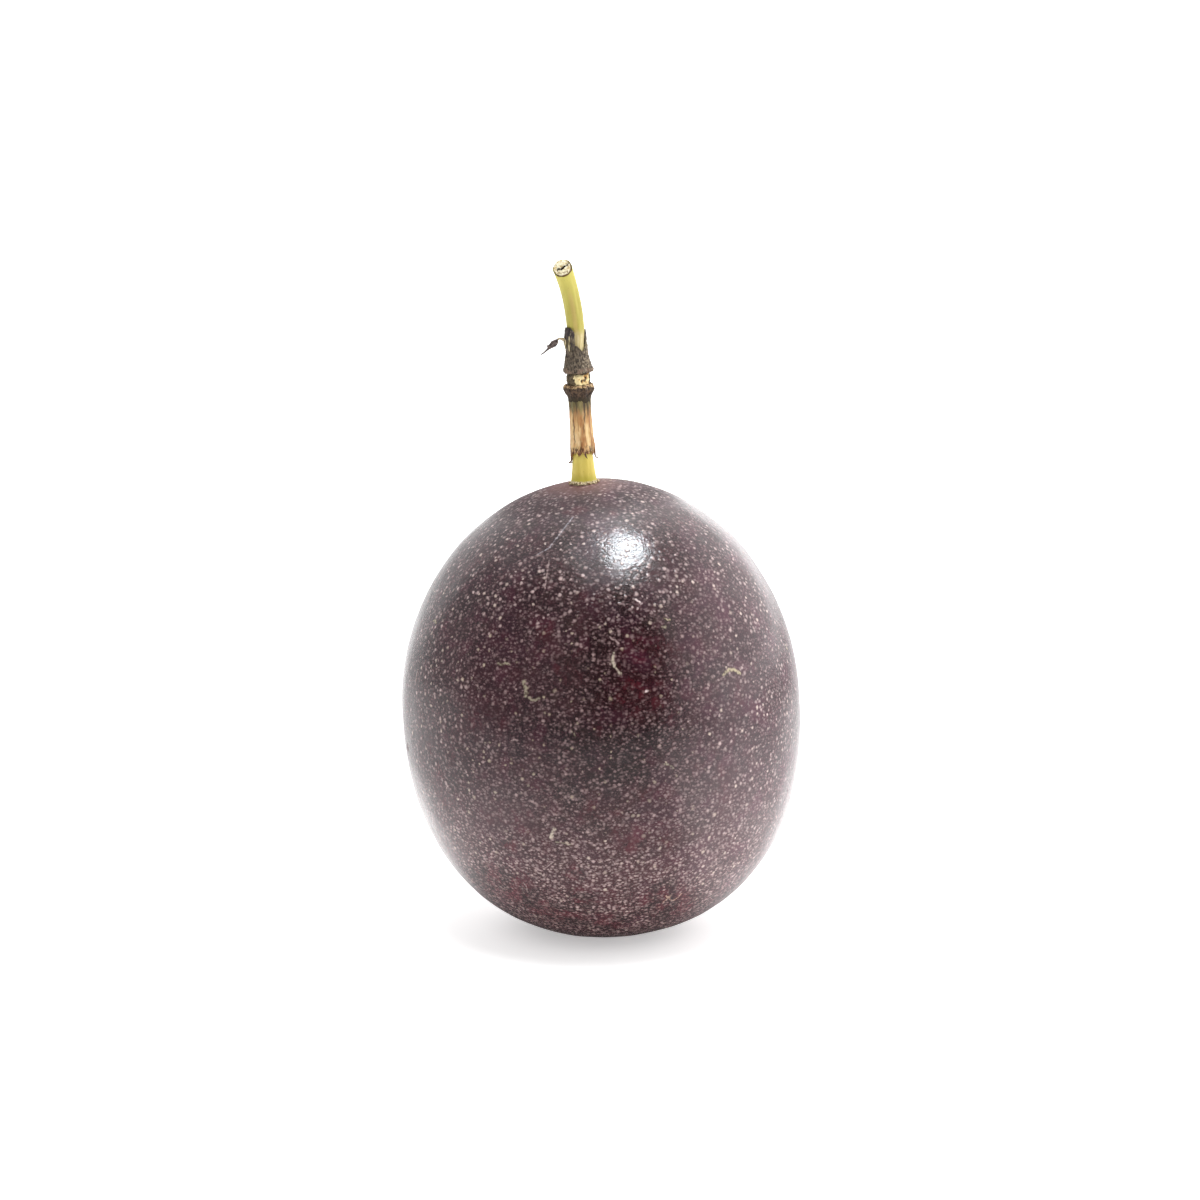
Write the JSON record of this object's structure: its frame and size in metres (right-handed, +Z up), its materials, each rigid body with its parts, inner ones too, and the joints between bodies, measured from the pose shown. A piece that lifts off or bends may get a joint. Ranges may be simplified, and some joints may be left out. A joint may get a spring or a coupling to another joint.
{
  "type": "passion fruit",
  "caption": "Whole ripe purple passion fruit: an egg-shaped berry with a glossy speckled rind, standing on end, with its cut stem and the dried remains of the flower.",
  "frame": {"origin": "on the surface that the fruit stands on, straight under the middle of its girth", "axes": "+Z up through the fruit to its stem, +X to the right, -Y the front, which the bend of the stem's tip half faces"},
  "size_m": [0.0561, 0.056, 0.0952],
  "materials": {
    "rind": "satin",
    "green_stem": "satin",
    "dry_filaments": "matte",
    "dry_corona": "matte",
    "dry_calyx": "matte",
    "dry_bract": "matte"
  },
  "bodies": {
    "root": {"fruit": "rind", "stem": "green_stem", "filament_tube": "dry_filaments", "corona_ring": "dry_corona", "calyx_cup": "dry_calyx", "bract_left": "dry_bract", "bract_right": "dry_bract", "bract_shred": "dry_bract"}
  },
  "joints": []
}
